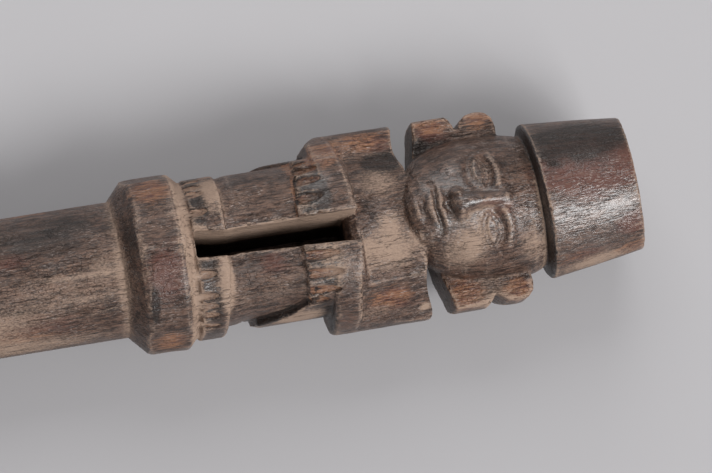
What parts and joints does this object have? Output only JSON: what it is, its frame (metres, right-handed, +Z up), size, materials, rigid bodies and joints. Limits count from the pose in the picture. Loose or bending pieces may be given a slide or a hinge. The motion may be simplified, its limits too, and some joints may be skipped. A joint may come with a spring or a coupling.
{
  "type": "carved wooden staff",
  "caption": "Long round wooden staff whose head is carved as a squatting figure with hands on knees, lobed ears and a tall flared hat, on a collar.",
  "frame": {"origin": "on the surface that the staff lies on, under the middle of its box", "axes": "+X along the staff towards the hat, +Z up, which is the way that the figure faces, +Y to the figure's right"},
  "size_m": [0.9022, 0.0508, 0.0455],
  "materials": {
    "carved_hardwood": "dark, handled, half-polished hardwood with dust in the cuts"
  },
  "bodies": {
    "root": {"staff": "carved_hardwood"}
  },
  "joints": []
}
